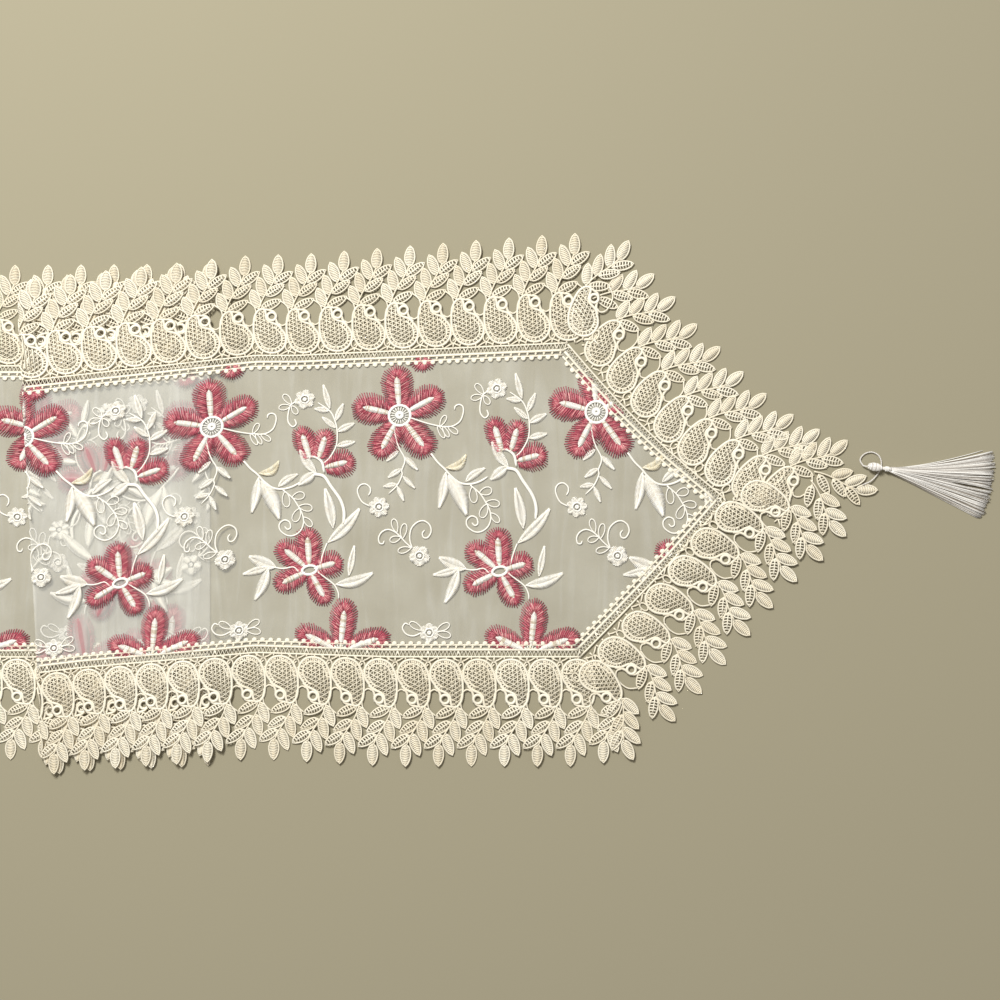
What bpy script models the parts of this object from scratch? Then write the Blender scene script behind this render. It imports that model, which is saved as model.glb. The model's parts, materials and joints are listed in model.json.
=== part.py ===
"""Table runner with a lace border and two tassels, laid flat with one Z-fold.

The runner lies along X on the plane Z = 0. From the left it is one layer. At the
fold it turns back on itself twice, so three layers lie on each other, and past
the fold the top layer comes down to the plane again. Every sheet is a thin
closed solid. The origin is the middle of the underside of the whole object.
"""
import math

import bmesh
import bpy
from mathutils import Vector

# Sheets
CLOTH = 0.0012            # thickness of the lace and of the embroidered ground
LAYER_GAP = 0.0004        # clearance between two layers of the fold
LAYER_PITCH = CLOTH + LAYER_GAP
SEAM_GAP = 0.0003         # clearance between neighbouring pieces

# Outline of the laid runner
HALF_GROUND = 0.108       # half the width between the inner edges of the lace
LACE_WIDTH = 0.093        # from the inner edge of the lace to the leaf tips
SHOULDER_X = 0.3825       # where the sides turn into the pointed end
APEX_X = 0.4730           # inner point of the end
TIP_X = 0.6122            # outermost leaf of the end
MITRE_X = 0.0434          # how far the shoulder's mitre runs outwards along X
UNIT = 0.0252             # pitch of the lace pattern
TOOTH = (0.78, 1.0, 0.86)  # depth of the leaf edge at three places in one unit

# The Z-fold
FOLD_RIGHT_X = 0.1028     # lower fold edge, where the bottom layer turns back
FOLD_LEFT_X = -0.0350     # upper fold edge, where the middle layer turns again
FOLD_SLANT = -0.0485      # the upper fold edge's X changes by this much of Y
FOLD_RELIEF = 0.0008      # room for the turned cloth at each fold edge
DROP_START_X = 0.1075     # the top layer starts to come down to the plane
DROP_END_X = 0.1375

# Sideways drift of the layers, measured from Y = 0
RIGHT_AXIS_Y = 0.010      # centre line of the right-hand stretch
LEFT_AXIS_Y = 0.002       # centre line of the left-hand stretch
FOLD_LOW_Y = 0.003        # centre line at the lower fold edge
FOLD_TOP_Y = -0.010       # centre line at the upper fold edge

# Tassels, with X from the object's middle and Y from the end's centre line
LOOP_WIRE = 0.0006        # radius of the loop's cord
LOOP_ROUTE = (            # X, Y and height of the cord's middle
    (0.6015, 0.0115, 0.0022),
    (0.6080, 0.0145, 0.0020),
    (0.6130, 0.0195, 0.0012),
    (0.6158, 0.0250, 0.0009),
    (0.6160, 0.0300, 0.0009),
    (0.6135, 0.0345, 0.0009),
    (0.6085, 0.0366, 0.0009),
    (0.6030, 0.0350, 0.0009),
    (0.6000, 0.0308, 0.0009),
    (0.6017, 0.0268, 0.0009),
)
LOOP_STEPS = 3
KNOT_AT = (0.6107, 0.0252)
KNOT_HALF = (0.0052, 0.0033, 0.0022)
KNOT_LOW = 0.0019
TASSEL_TURN = math.radians(-9.0)
NECK_RADIUS = 0.0014
NECK_START = 0.0055       # along the tassel's axis, from the knot's middle
NECK_END = 0.0112
NECK_SIDES = 12
SKIRT_SECTIONS = (        # distance along the axis, half width, half height
    (0.0115, 0.0018, 0.0020),
    (0.0180, 0.0050, 0.0026),
    (0.0300, 0.0105, 0.0026),
    (0.0500, 0.0180, 0.0022),
    (0.0720, 0.0245, 0.0018),
    (0.0905, 0.0270, 0.0015),
)
SKIRT_SIDES = 16

COLOURS = {
    "organza": ((0.80, 0.80, 0.72, 1.0), 0.45),
    "lace": ((0.83, 0.74, 0.56, 1.0), 0.75),
    "cord": ((0.72, 0.67, 0.62, 1.0), 0.60),
    "silk": ((0.76, 0.72, 0.72, 1.0), 0.40),
}


def clear_scene():
    """Remove whatever the start-up file holds."""
    for obj in list(bpy.data.objects):
        bpy.data.objects.remove(obj, do_unlink=True)


def material(kind, name):
    """Principled material of one part."""
    colour, roughness = COLOURS[kind]
    made = bpy.data.materials.new(name + "_material")
    made.use_nodes = True
    shader = made.node_tree.nodes["Principled BSDF"]
    shader.inputs["Base Color"].default_value = colour
    shader.inputs["Roughness"].default_value = roughness
    shader.inputs["Metallic"].default_value = 0.0
    return made


def add_object(name, mesh_source, kind, origin=(0.0, 0.0, 0.0)):
    """Make an object from a bmesh whose points are in world coordinates."""
    bmesh.ops.translate(mesh_source, verts=mesh_source.verts, vec=-Vector(origin))
    bmesh.ops.recalc_face_normals(mesh_source, faces=mesh_source.faces)
    mesh = bpy.data.meshes.new(name)
    mesh_source.to_mesh(mesh)
    mesh_source.free()
    obj = bpy.data.objects.new(name, mesh)
    obj.location = origin
    mesh.materials.append(material(kind, name))
    bpy.context.scene.collection.objects.link(obj)
    return obj


# ---------------------------------------------------------------- layers

def between(x, x_a, value_a, x_b, value_b):
    """Straight line between two values, held constant outside them."""
    share = min(max((x - x_a) / (x_b - x_a), 0.0), 1.0)
    return value_a + share * (value_b - value_a)


def slanted(x, y):
    """X of a point in the turned layers, whose upper fold edge is slanted."""
    return x + y * between(x, FOLD_LEFT_X, FOLD_SLANT, FOLD_RIGHT_X, 0.0)


def left_layer(x, y):
    """Bottom layer and left-hand end: flat on the plane."""
    centre = between(x, FOLD_LEFT_X, LEFT_AXIS_Y, FOLD_RIGHT_X, FOLD_LOW_Y)
    return Vector((x, y + centre, 0.0))


def fold_layer(x, y):
    """Middle layer of the fold."""
    centre = between(x, FOLD_LEFT_X, FOLD_TOP_Y, FOLD_RIGHT_X, FOLD_LOW_Y)
    return Vector((slanted(x, y), y + centre, LAYER_PITCH))


def right_layer(x, y):
    """Top layer, which comes down to the plane past the fold."""
    centre = between(x, FOLD_LEFT_X, FOLD_TOP_Y, DROP_END_X, RIGHT_AXIS_Y)
    height = between(x, DROP_START_X, 2.0 * LAYER_PITCH, DROP_END_X, 0.0)
    return Vector((slanted(x, y), y + centre, height))


# ---------------------------------------------------------------- sheets

def sheet(name, edge_a, edge_b, layer, kind, origin=(0.0, 0.0, 0.0)):
    """Thin closed solid between two rows of flat points."""
    made = bmesh.new()
    rings = []
    lift = Vector((0.0, 0.0, CLOTH))
    for point_a, point_b in zip(edge_a, edge_b):
        low_a = layer(*point_a)
        low_b = layer(*point_b)
        corners = (low_a, low_b, low_b + lift, low_a + lift)
        rings.append([made.verts.new(corner) for corner in corners])
    for ring, following in zip(rings, rings[1:]):
        for i in range(4):
            j = (i + 1) % 4
            made.faces.new((ring[i], ring[j], following[j], following[i]))
    made.faces.new(rings[0][::-1])
    made.faces.new(rings[-1])
    return add_object(name, made, kind, origin)


def mix(point_a, point_b, share):
    """Point between two flat points."""
    return tuple(a + share * (b - a) for a, b in zip(point_a, point_b))


def lace_run(name, inner, outer, layer, origin=(0.0, 0.0, 0.0)):
    """Run of lace border, straight inside and toothed along its leaves.

    inner and outer each hold the run's first and last flat point.
    """
    length = math.dist(*inner)
    steps = max(len(TOOTH), round(length / UNIT) * len(TOOTH))
    edge_in = []
    edge_out = []
    for i in range(steps + 1):
        share = i / steps
        start = mix(inner[0], inner[1], share)
        reach = mix(outer[0], outer[1], share)
        depth = 1.0 if i in (0, steps) else TOOTH[i % len(TOOTH)]
        edge_in.append(start)
        edge_out.append(mix(start, reach, depth))
    return sheet(name, edge_in, edge_out, layer, "lace", origin)


def long_lace(name, side, x_in, x_out, layer, origin=(0.0, 0.0, 0.0)):
    """Run along a long side; side is +1 above and -1 below the centre line."""
    near = side * HALF_GROUND
    far = side * (HALF_GROUND + LACE_WIDTH)
    inner = ((x_in[0], near), (x_in[1], near))
    outer = ((x_out[0], far), (x_out[1], far))
    return lace_run(name, inner, outer, layer, origin)


def end_lace(name, end, side, layer, origin=(0.0, 0.0, 0.0)):
    """Slanted run at a pointed end; end is +1 on the right and -1 on the left."""
    gap = SEAM_GAP
    far = HALF_GROUND + LACE_WIDTH
    inner = (
        (end * (SHOULDER_X + gap), side * HALF_GROUND),
        (end * APEX_X, side * gap),
    )
    outer = (
        (end * (SHOULDER_X + MITRE_X + gap), side * far),
        (end * TIP_X, side * gap),
    )
    return lace_run(name, inner, outer, layer, origin)


def ground(name, stations, layer, origin=(0.0, 0.0, 0.0)):
    """Ground panel; each station is an X and a half width."""
    edge_a = [(x, -half) for x, half in stations]
    edge_b = [(x, half) for x, half in stations]
    return sheet(name, edge_a, edge_b, layer, "organza", origin)


def left_sheets():
    """Bottom layer with the left-hand pointed end."""
    half = HALF_GROUND - SEAM_GAP
    stop = FOLD_RIGHT_X - FOLD_RELIEF
    stations = (
        (-APEX_X + 4.0 * SEAM_GAP, SEAM_GAP),
        (-SHOULDER_X + SEAM_GAP, half - SEAM_GAP),
        (FOLD_LEFT_X, half),
        (stop, half),
    )
    ground("organza_left", stations, left_layer)
    start = -SHOULDER_X + SEAM_GAP
    mitre = start - MITRE_X
    long_lace("lace_upper_left", 1, (start, stop), (mitre, stop), left_layer)
    long_lace("lace_lower_left", -1, (start, stop), (mitre, stop), left_layer)
    end_lace("lace_left_upper_point", -1, 1, left_layer)
    end_lace("lace_left_lower_point", -1, -1, left_layer)


def fold_sheets(hinge):
    """Middle layer of the Z-fold."""
    half = HALF_GROUND - SEAM_GAP
    span = (FOLD_LEFT_X + FOLD_RELIEF, FOLD_RIGHT_X - FOLD_RELIEF)
    ground("organza_fold", ((span[0], half), (span[1], half)), fold_layer, hinge)
    long_lace("lace_upper_fold", 1, span, span, fold_layer, hinge)
    long_lace("lace_lower_fold", -1, span, span, fold_layer, hinge)


def right_sheets(hinge):
    """Top layer with the right-hand pointed end."""
    half = HALF_GROUND - SEAM_GAP
    start = FOLD_LEFT_X + FOLD_RELIEF
    stop = SHOULDER_X - SEAM_GAP
    stations = (
        (start, half),
        (DROP_START_X, half),
        (DROP_END_X, half),
        (stop, half - SEAM_GAP),
        (APEX_X - 4.0 * SEAM_GAP, SEAM_GAP),
    )
    ground("organza_right", stations, right_layer, hinge)
    mitre = stop + MITRE_X
    long_lace("lace_upper_right", 1, (start, stop), (start, mitre), right_layer, hinge)
    long_lace("lace_lower_right", -1, (start, stop), (start, mitre), right_layer, hinge)
    end_lace("lace_right_upper_point", 1, 1, right_layer, hinge)
    end_lace("lace_right_lower_point", 1, -1, right_layer, hinge)


# ---------------------------------------------------------------- tassels

def smooth_route(points, steps):
    """Catmull-Rom curve through the points of a route."""
    padded = [2.0 * points[0] - points[1]] + points + [2.0 * points[-1] - points[-2]]
    route = []
    for i in range(1, len(padded) - 2):
        before, start, stop, after = padded[i - 1:i + 3]
        for step in range(steps):
            t = step / steps
            linear = (stop - before) * t
            square = (2.0 * before - 5.0 * start + 4.0 * stop - after) * t * t
            cube = (3.0 * start - before - 3.0 * stop + after) * t ** 3
            route.append(start + 0.5 * (linear + square + cube))
    route.append(points[-1])
    return route


def tassel_loop(name, end, axis_y):
    """Loop of thin cord, whose origin is where it passes through the lace."""
    points = [Vector((end * x, axis_y + y, z)) for x, y, z in LOOP_ROUTE]
    origin = points[0]
    route = smooth_route(points, LOOP_STEPS)
    curve = bpy.data.curves.new(name, "CURVE")
    curve.dimensions = "3D"
    curve.bevel_depth = LOOP_WIRE
    curve.bevel_resolution = 2
    curve.render_resolution_u = 0
    curve.use_fill_caps = True
    spline = curve.splines.new("POLY")
    spline.points.add(len(route) - 1)
    for target, place in zip(spline.points, route):
        target.co = (*(place - origin), 1.0)
    curve.materials.append(material("cord", name))
    obj = bpy.data.objects.new(name, curve)
    obj.location = origin
    bpy.context.scene.collection.objects.link(obj)


def tassel_point(end, pivot, along, across, height):
    """World place of a point given along and across the tassel's axis."""
    x = along * math.cos(TASSEL_TURN) - across * math.sin(TASSEL_TURN)
    y = along * math.sin(TASSEL_TURN) + across * math.cos(TASSEL_TURN)
    return Vector((pivot.x + end * x, pivot.y + y, height))


def lofted(name, end, pivot, sections, sides, kind):
    """Closed solid through elliptical sections across the tassel's axis.

    Each section is a distance, a half width, a half height and a middle height.
    """
    made = bmesh.new()
    rings = []
    for along, half_width, half_height, middle in sections:
        ring = []
        for i in range(sides):
            angle = 2.0 * math.pi * i / sides
            across = half_width * math.cos(angle)
            height = middle + half_height * math.sin(angle)
            place = tassel_point(end, pivot, along, across, height)
            ring.append(made.verts.new(place))
        rings.append(ring)
    for ring, following in zip(rings, rings[1:]):
        for i in range(sides):
            j = (i + 1) % sides
            made.faces.new((ring[i], ring[j], following[j], following[i]))
    made.faces.new(rings[0][::-1])
    made.faces.new(rings[-1])
    obj = add_object(name, made, kind, pivot)
    obj.data.shade_smooth()
    obj.data.set_sharp_from_angle(angle=math.radians(40.0))


def tassel(end, axis_y, prefix):
    """Loop, knot, neck and skirt of one tassel."""
    tassel_loop(prefix + "_tassel_loop", end, axis_y)
    middle = KNOT_LOW + KNOT_HALF[2]
    pivot = Vector((end * KNOT_AT[0], axis_y + KNOT_AT[1], middle))
    knot = []
    for i in range(1, 8):
        angle = math.pi * i / 8
        size = math.sin(angle)
        along = -KNOT_HALF[0] * math.cos(angle)
        knot.append((along, KNOT_HALF[1] * size, KNOT_HALF[2] * size, middle))
    lofted(prefix + "_tassel_knot", end, pivot, knot, SKIRT_SIDES, "silk")
    top = KNOT_LOW + NECK_RADIUS
    neck = (
        (NECK_START, NECK_RADIUS, NECK_RADIUS, top),
        (NECK_END, NECK_RADIUS, NECK_RADIUS, top),
    )
    lofted(prefix + "_tassel_neck", end, pivot, neck, NECK_SIDES, "silk")
    skirt = [(along, half, high, high) for along, half, high in SKIRT_SECTIONS]
    lofted(prefix + "_tassel_skirt", end, pivot, skirt, SKIRT_SIDES, "silk")


def main():
    """Build every sheet and both tassels."""
    clear_scene()
    hinge_height = LAYER_PITCH + 0.5 * CLOTH
    left_sheets()
    fold_sheets(Vector((FOLD_RIGHT_X, 0.0, hinge_height)))
    right_sheets(Vector((FOLD_LEFT_X, 0.0, hinge_height)))
    tassel(1, RIGHT_AXIS_Y, "right")
    tassel(-1, LEFT_AXIS_Y, "left")


main()
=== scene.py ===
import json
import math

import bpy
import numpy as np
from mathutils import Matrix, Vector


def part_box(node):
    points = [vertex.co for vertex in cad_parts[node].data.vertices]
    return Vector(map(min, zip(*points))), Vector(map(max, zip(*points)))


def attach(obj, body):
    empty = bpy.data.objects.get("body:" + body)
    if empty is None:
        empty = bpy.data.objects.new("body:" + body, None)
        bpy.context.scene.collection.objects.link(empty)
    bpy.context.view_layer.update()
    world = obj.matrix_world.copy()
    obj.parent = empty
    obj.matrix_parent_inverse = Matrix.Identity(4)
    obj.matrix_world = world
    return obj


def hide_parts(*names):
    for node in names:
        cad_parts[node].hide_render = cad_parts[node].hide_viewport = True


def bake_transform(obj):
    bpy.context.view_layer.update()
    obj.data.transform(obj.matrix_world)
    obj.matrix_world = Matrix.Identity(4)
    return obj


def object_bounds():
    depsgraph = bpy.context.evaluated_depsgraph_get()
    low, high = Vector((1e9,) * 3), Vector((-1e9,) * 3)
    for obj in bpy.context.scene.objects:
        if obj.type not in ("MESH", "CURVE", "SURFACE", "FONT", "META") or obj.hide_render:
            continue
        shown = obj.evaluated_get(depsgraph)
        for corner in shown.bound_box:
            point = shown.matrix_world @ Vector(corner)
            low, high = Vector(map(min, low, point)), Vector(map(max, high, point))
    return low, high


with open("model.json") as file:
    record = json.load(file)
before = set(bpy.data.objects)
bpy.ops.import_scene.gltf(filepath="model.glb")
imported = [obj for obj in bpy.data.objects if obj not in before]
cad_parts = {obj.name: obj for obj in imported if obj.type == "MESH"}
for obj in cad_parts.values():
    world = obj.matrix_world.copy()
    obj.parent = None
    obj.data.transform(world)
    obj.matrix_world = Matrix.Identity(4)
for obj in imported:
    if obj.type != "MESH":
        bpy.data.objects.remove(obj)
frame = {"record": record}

# Looks of the table runner: sheer ground, embroidery, openwork lace and two tassels.
#
# Everything on the cloth is drawn flat, in cloth coordinates: s along the runner, t
# across it and h up out of its face. lay() then folds and lays those points on the
# frame's bodies. Sizes are in metres; listed shapes are in millimetres and go through
# mm().

MM = 0.001
UP = np.array((0.0, 0.0, 1.0))
cad_low, cad_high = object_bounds()
record = frame["record"]
joints = {joint["name"]: joint for joint in record["behaviour"]["joints"]}

# ---------------------------------------------------------------- layout

FOLD_R = joints["fold_open"]["pos_m"][0]
SLANT = joints["fold_return"]["axis"][0] / joints["fold_return"]["axis"][1]
TOP_Y = -0.010            # centre line at the upper fold edge
LOW_Y = 0.003             # centre line at the lower fold edge
LEFT_Y = 0.002            # centre line of the left-hand stretch
RIGHT_Y = 0.010           # centre line of the right-hand stretch
FOLD_L = joints["fold_return"]["pos_m"][0] - SLANT * TOP_Y
FOLD_W = FOLD_R - FOLD_L
DROP_START = FOLD_R + 2.5 * MM
DROP_END = FOLD_R + 35.0 * MM
LAYER = 1.7 * MM          # from one layer's middle to the next
CLOTH_MID = 0.5 * MM      # height of the cloth's middle over its underside
REST_Z = 0.56 * MM        # height of that middle where the cloth lies on the floor
S_LOW = FOLD_L            # place along the cloth of the lower fold edge
S_TOP = FOLD_R            # place along the cloth of the upper fold edge
S_MID = 0.5 * (S_LOW + S_TOP)
S_CUT = S_TOP + 0.125     # on the upper layer, before it comes down to the floor
PINCH_UPPER = 0.92        # how far the gathered fold draws the two sides together
PINCH_LOWER = 0.935
GATHER_UPPER = 0.17       # where the gathering starts to ease, going right
GATHER_LOWER = 0.0
EASED_UPPER = FOLD_R + 0.273      # and where the cloth has its full width again
EASED_LOWER = 0.24
EASED_LEFT = FOLD_L - 0.22
GATHER_LEFT = FOLD_L - 0.02
WAVE = 0.5 * MM           # height of the loose cloth's waves
RIM_WAVE = 1.4 * MM       # and what the lace adds to it

HALF_GROUND = 0.108       # from the centre line to the inner edge of the lace
BRAID_V = 9.9 * MM        # from the inner edge of the lace to the braid's middle
CORNER_T = HALF_GROUND + 9.0 * MM
APEX_S = 0.6328           # where the two slanted braids meet
CORNERS = (0.5240, 0.5137)      # where the braid turns: below and above the right end
BOWS = (-1.5 * MM, 4.5 * MM)    # how far the slanted braids bow inwards
PITCH = 25.2 * MM         # one repeat of the lace
REPEAT = 0.1454           # one repeat of the embroidery

rng = np.random.default_rng(7)


def ramp(x, a, b):
    """Smooth step from 0 at a to 1 at b."""
    share = np.clip((x - a) / (b - a), 0.0, 1.0)
    return share * share * (3.0 - 2.0 * share)


def straight(x, a, value_a, b, value_b):
    """Straight line between two values, held constant outside them."""
    share = np.clip((x - a) / (b - a), 0.0, 1.0)
    return value_a + share * (value_b - value_a)


def lay(points):
    """World places of points in cloth coordinates."""
    s, t, h = np.asarray(points, float).T
    radius = 0.5 * LAYER
    quarter = 0.5 * math.pi * radius
    low_a, low_b = S_LOW - quarter, S_LOW + quarter
    top_a, top_b = S_TOP - quarter, S_TOP + quarter
    edge_r = FOLD_R - radius
    edge_l = edge_r - (top_a - low_b)

    turn_low = np.clip((s - low_a) / radius, 0.0, math.pi)
    turn_top = np.clip((s - top_a) / radius, 0.0, math.pi)
    angle = turn_low - turn_top
    x = edge_r + np.minimum(s - low_a, 0.0)
    x = x + radius * np.sin(turn_low)
    x = x - np.clip(s - low_b, 0.0, top_a - low_b)
    x = x - radius * np.sin(turn_top)
    x = x + np.maximum(s - top_b, 0.0)
    z = REST_Z + radius * (1.0 - np.cos(turn_low)) + radius * (1.0 - np.cos(turn_top))

    on_left = s < S_LOW
    on_right = s > S_TOP
    z = z - np.where(on_right, 2.0 * LAYER * ramp(x, DROP_START, DROP_END), 0.0)
    centre = np.where(
        on_left,
        straight(x, FOLD_L, LEFT_Y, FOLD_R, LOW_Y),
        straight(x, FOLD_L, TOP_Y, FOLD_R, LOW_Y),
    )
    centre = np.where(on_right, straight(x, FOLD_L, TOP_Y, DROP_END, RIGHT_Y), centre)
    slant = np.where(on_left, 0.0, t * straight(x, edge_l, SLANT, edge_r, 0.0))

    upper = straight(x, GATHER_UPPER, PINCH_UPPER, EASED_UPPER, 1.0)
    lower = straight(x, GATHER_LOWER, PINCH_LOWER, EASED_LOWER, 1.0)
    pinch = np.where(t > 0.0, upper, lower)
    pinch = pinch + (1.0 - pinch) * (1.0 - ramp(x, EASED_LEFT, GATHER_LEFT))
    off = h - CLOTH_MID
    loose = np.where(on_right, ramp(x, DROP_END, DROP_END + 0.05), 0.0)
    loose = loose + np.where(on_left, 1.0 - ramp(x, FOLD_L - 0.08, FOLD_L - 0.03), 0.0)
    swell = 0.5 + 0.5 * np.sin(x * 61.0 + t * 23.0) * np.sin(t * 47.0 - x * 19.0 + 1.0)
    rim = ramp(np.abs(t), 0.10, 0.20)
    z = z + loose * swell * (WAVE + RIM_WAVE * rim)
    world_x = x + slant - np.sin(angle) * off
    return np.column_stack((world_x, t * pinch + centre, z + np.cos(angle) * off))


# ---------------------------------------------------------------- threads

def smooth(points, steps=6, closed=False):
    """Points along a Catmull-Rom curve through flat points."""
    points = np.asarray(points, float)
    if closed:
        padded = np.vstack((points[-1], points, points[:2]))
    else:
        first = 2.0 * points[0] - points[1]
        last = 2.0 * points[-1] - points[-2]
        padded = np.vstack((first, points, last))
    p0, p1, p2, p3 = padded[:-3], padded[1:-2], padded[2:-1], padded[3:]
    rows = []
    for t in np.arange(steps) / steps:
        rows.append(
            p1
            + 0.5 * t * (p2 - p0)
            + 0.5 * t * t * (2.0 * p0 - 5.0 * p1 + 4.0 * p2 - p3)
            + 0.5 * t ** 3 * (3.0 * p1 - p0 - 3.0 * p2 + p3)
        )
    curve = np.stack(rows, axis=1).reshape(-1, points.shape[1])
    if closed:
        return curve
    return np.vstack((curve, points[-1]))


def inside(points, outline):
    """Which flat points are inside an outline."""
    x, y = np.asarray(points, float).T
    hits = np.zeros(len(x), int)
    ends = np.roll(outline, -1, axis=0)
    for (xa, ya), (xb, yb) in zip(outline, ends):
        crosses = (ya > y) != (yb > y)
        at = xa + (y - ya) * (xb - xa) / (yb - ya + 1e-12)
        hits += crosses & (x < at)
    return hits % 2 == 1


def mm(*values):
    """Array of millimetres, or of points in millimetres, as metres."""
    return np.array(values, float) * MM


def arrow(base, tip):
    """Length from one flat point to another, the way to it, and the way to its left."""
    step = np.asarray(tip, float) - np.asarray(base, float)
    length = np.linalg.norm(step)
    along = step / length
    return length, along, np.array((-along[1], along[0]))


def pointing(angle):
    """Unit arrow at an angle, and the one to its left."""
    c, s = math.cos(angle), math.sin(angle)
    return np.array((c, s)), np.array((-s, c))


def circle(count):
    """Unit points round a circle."""
    turn = np.linspace(0.0, 2.0 * math.pi, count + 1)[:-1]
    return np.column_stack((np.cos(turn), np.sin(turn)))


def grid_faces(rows, columns, round_rows=False, round_columns=True):
    """Four-sided faces between neighbouring points of a grid, counted row by row."""
    i, j = np.meshgrid(
        np.arange(rows if round_rows else rows - 1),
        np.arange(columns if round_columns else columns - 1),
        indexing="ij",
    )
    here, after = i * columns, (i + 1) % rows * columns
    beside = (j + 1) % columns
    return np.stack((here + j, here + beside, after + beside, after + j), axis=-1).reshape(-1, 4)


def cross_arrows(path):
    """Level and rising unit arrows across a path in space."""
    tangent = np.gradient(path, axis=0)
    tangent /= np.linalg.norm(tangent, axis=1, keepdims=True) + 1e-12
    side = np.cross(UP, tangent)
    steep = np.linalg.norm(side, axis=1, keepdims=True) < 0.05
    side = np.where(steep, np.cross((0.0, 1.0, 0.0), tangent), side)
    side /= np.linalg.norm(side, axis=1, keepdims=True)
    return side, np.cross(tangent, side)


class Threads:
    """Closed threads and pads gathered into one mesh."""

    def __init__(self):
        self.bodies = []
        self.count = 0
        self.group = 0

    def add(self, points, faces, tints, groups):
        """Add closed bodies that are given as arrays."""
        self.bodies.append((points, faces + self.count, tints, groups + self.group))
        self.count += len(points)
        self.group += int(groups.max()) + 1

    def sweep(self, path, side, rise, sides, tint, closed=False):
        """Tube along a path; side and rise are the half sizes across it, as arrows."""
        count = len(path)
        turn = (2.0 * math.pi * np.arange(sides) / sides)[:, None]
        points = path[:, None] + side[:, None] * np.cos(turn) + rise[:, None] * np.sin(turn)
        points = points.reshape(-1, 3)
        faces = grid_faces(count, sides, round_rows=closed)
        if not closed:
            fan = np.array([(0, k, k + 1, k + 2) for k in range(1, sides - 2, 2)])
            faces = np.vstack((faces, fan[:, ::-1], fan + (count - 1) * sides))
        tints = np.repeat(np.broadcast_to(tint, count), sides)
        self.add(points, faces, tints, np.zeros(len(points), int))

    def tube(self, path, width, height, h=0.5 * MM, closed=False, sides=4, tint=0.5):
        """Thread along a flat path; width and height are half sizes."""
        path = np.asarray(path, float)
        count = len(path)
        if path.shape[1] == 2:
            path = np.column_stack((path, np.broadcast_to(h, count)))
        if closed:
            tangent = np.roll(path, -1, axis=0) - np.roll(path, 1, axis=0)
        else:
            tangent = np.gradient(path, axis=0)
        tangent[:, 2] = 0.0
        tangent /= np.linalg.norm(tangent, axis=1, keepdims=True) + 1e-12
        side = np.cross(UP, tangent) * np.broadcast_to(width, count)[:, None]
        rise = UP * np.broadcast_to(height, count)[:, None]
        self.sweep(path, side, rise, sides, tint, closed)

    def pad(self, middle, half_widths, thickness, h, tint):
        """Flat pad along a middle line, as wide as its half widths say."""
        self.tube(middle, half_widths, 0.5 * thickness, h, tint=tint)

    def cord(self, path, radius, sides=6, tint=0.5):
        """Round thread along any path in space."""
        side, rise = cross_arrows(path)
        radius = np.broadcast_to(radius, len(path))[:, None]
        self.sweep(path, side * radius, rise * radius, sides, tint)

    def take(self, other, shift=(0.0, 0.0), angle=0.0, lift=0.0, tint=0.0):
        """Copy another set of threads, turned and moved in the plane."""
        x, y, z = other["points"].T
        c, s = math.cos(angle), math.sin(angle)
        points = np.column_stack((c * x - s * y + shift[0], s * x + c * y + shift[1], z + lift))
        tints = np.clip(other["tints"] + tint, 0.0, 1.0)
        self.add(points, other["faces"], tints, other["groups"])

    def done(self):
        """The gathered arrays."""
        names = ("points", "faces", "tints", "groups")
        return {name: np.concatenate(arrays) for name, arrays in zip(names, zip(*self.bodies))}


def pick(data, good):
    """Only the whole bodies that are good, given one truth value for each body."""
    stay = good[data["groups"]]
    number = np.cumsum(stay) - 1
    faces = data["faces"]
    return {
        "points": data["points"][stay],
        "faces": number[faces[stay[faces[:, 0]]]],
        "tints": data["tints"][stay],
        "groups": data["groups"][stay],
    }


def moved(data, shift=(0.0, 0.0), angle=0.0):
    """Copy of gathered arrays, turned and moved in the plane."""
    threads = Threads()
    threads.take(data, shift, angle)
    return threads.done()


def body_mean(data, values):
    """Mean of a value over each body."""
    count = int(data["groups"].max()) + 1
    total = np.bincount(data["groups"], weights=values, minlength=count)
    size = np.bincount(data["groups"], minlength=count)
    return total / np.maximum(size, 1)


def make_object(name, data, finish):
    """Mesh object from world points, four-sided faces and a tint at each point."""
    points, faces, tints = data["points"], data["faces"], data["tints"]
    mesh = bpy.data.meshes.new(name)
    mesh.vertices.add(len(points))
    mesh.vertices.foreach_set("co", points.astype(np.float32).ravel())
    mesh.loops.add(faces.size)
    mesh.loops.foreach_set("vertex_index", faces.astype(np.int32).ravel())
    mesh.polygons.add(len(faces))
    mesh.polygons.foreach_set("loop_start", np.arange(0, faces.size, 4, dtype=np.int32))
    mesh.update(calc_edges=True)
    mesh.validate()
    attribute = mesh.attributes.new("tint", "FLOAT", "POINT")
    attribute.data.foreach_set("value", tints.astype(np.float32))
    mesh.shade_smooth()
    mesh.materials.append(finish)
    obj = bpy.data.objects.new(name, mesh)
    bpy.context.scene.collection.objects.link(obj)
    return obj


def on_cloth(name, data, finish):
    """Object of threads laid on the cloth."""
    placed = dict(data, points=lay(data["points"]))
    return make_object(name, placed, finish)


# ---------------------------------------------------------------- materials

def feed(made, target, inputs):
    """Give a node's inputs a value each, or the output that feeds it."""
    for socket, value in inputs.items():
        if isinstance(value, bpy.types.NodeSocket):
            made.node_tree.links.new(value, target.inputs[socket])
        else:
            target.inputs[socket].default_value = value


def node(made, kind, output, inputs, **settings):
    """Output of a new shader node."""
    fresh = made.node_tree.nodes.new("ShaderNode" + kind)
    for setting, value in settings.items():
        setattr(fresh, setting, value)
    feed(made, fresh, inputs)
    return fresh.outputs[output]


def new_material(name, inputs):
    """Material and its Principled shader."""
    made = bpy.data.materials.new(name)
    made.use_nodes = True
    shader = made.node_tree.nodes["Principled BSDF"]
    feed(made, shader, inputs)
    return made, shader


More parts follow.
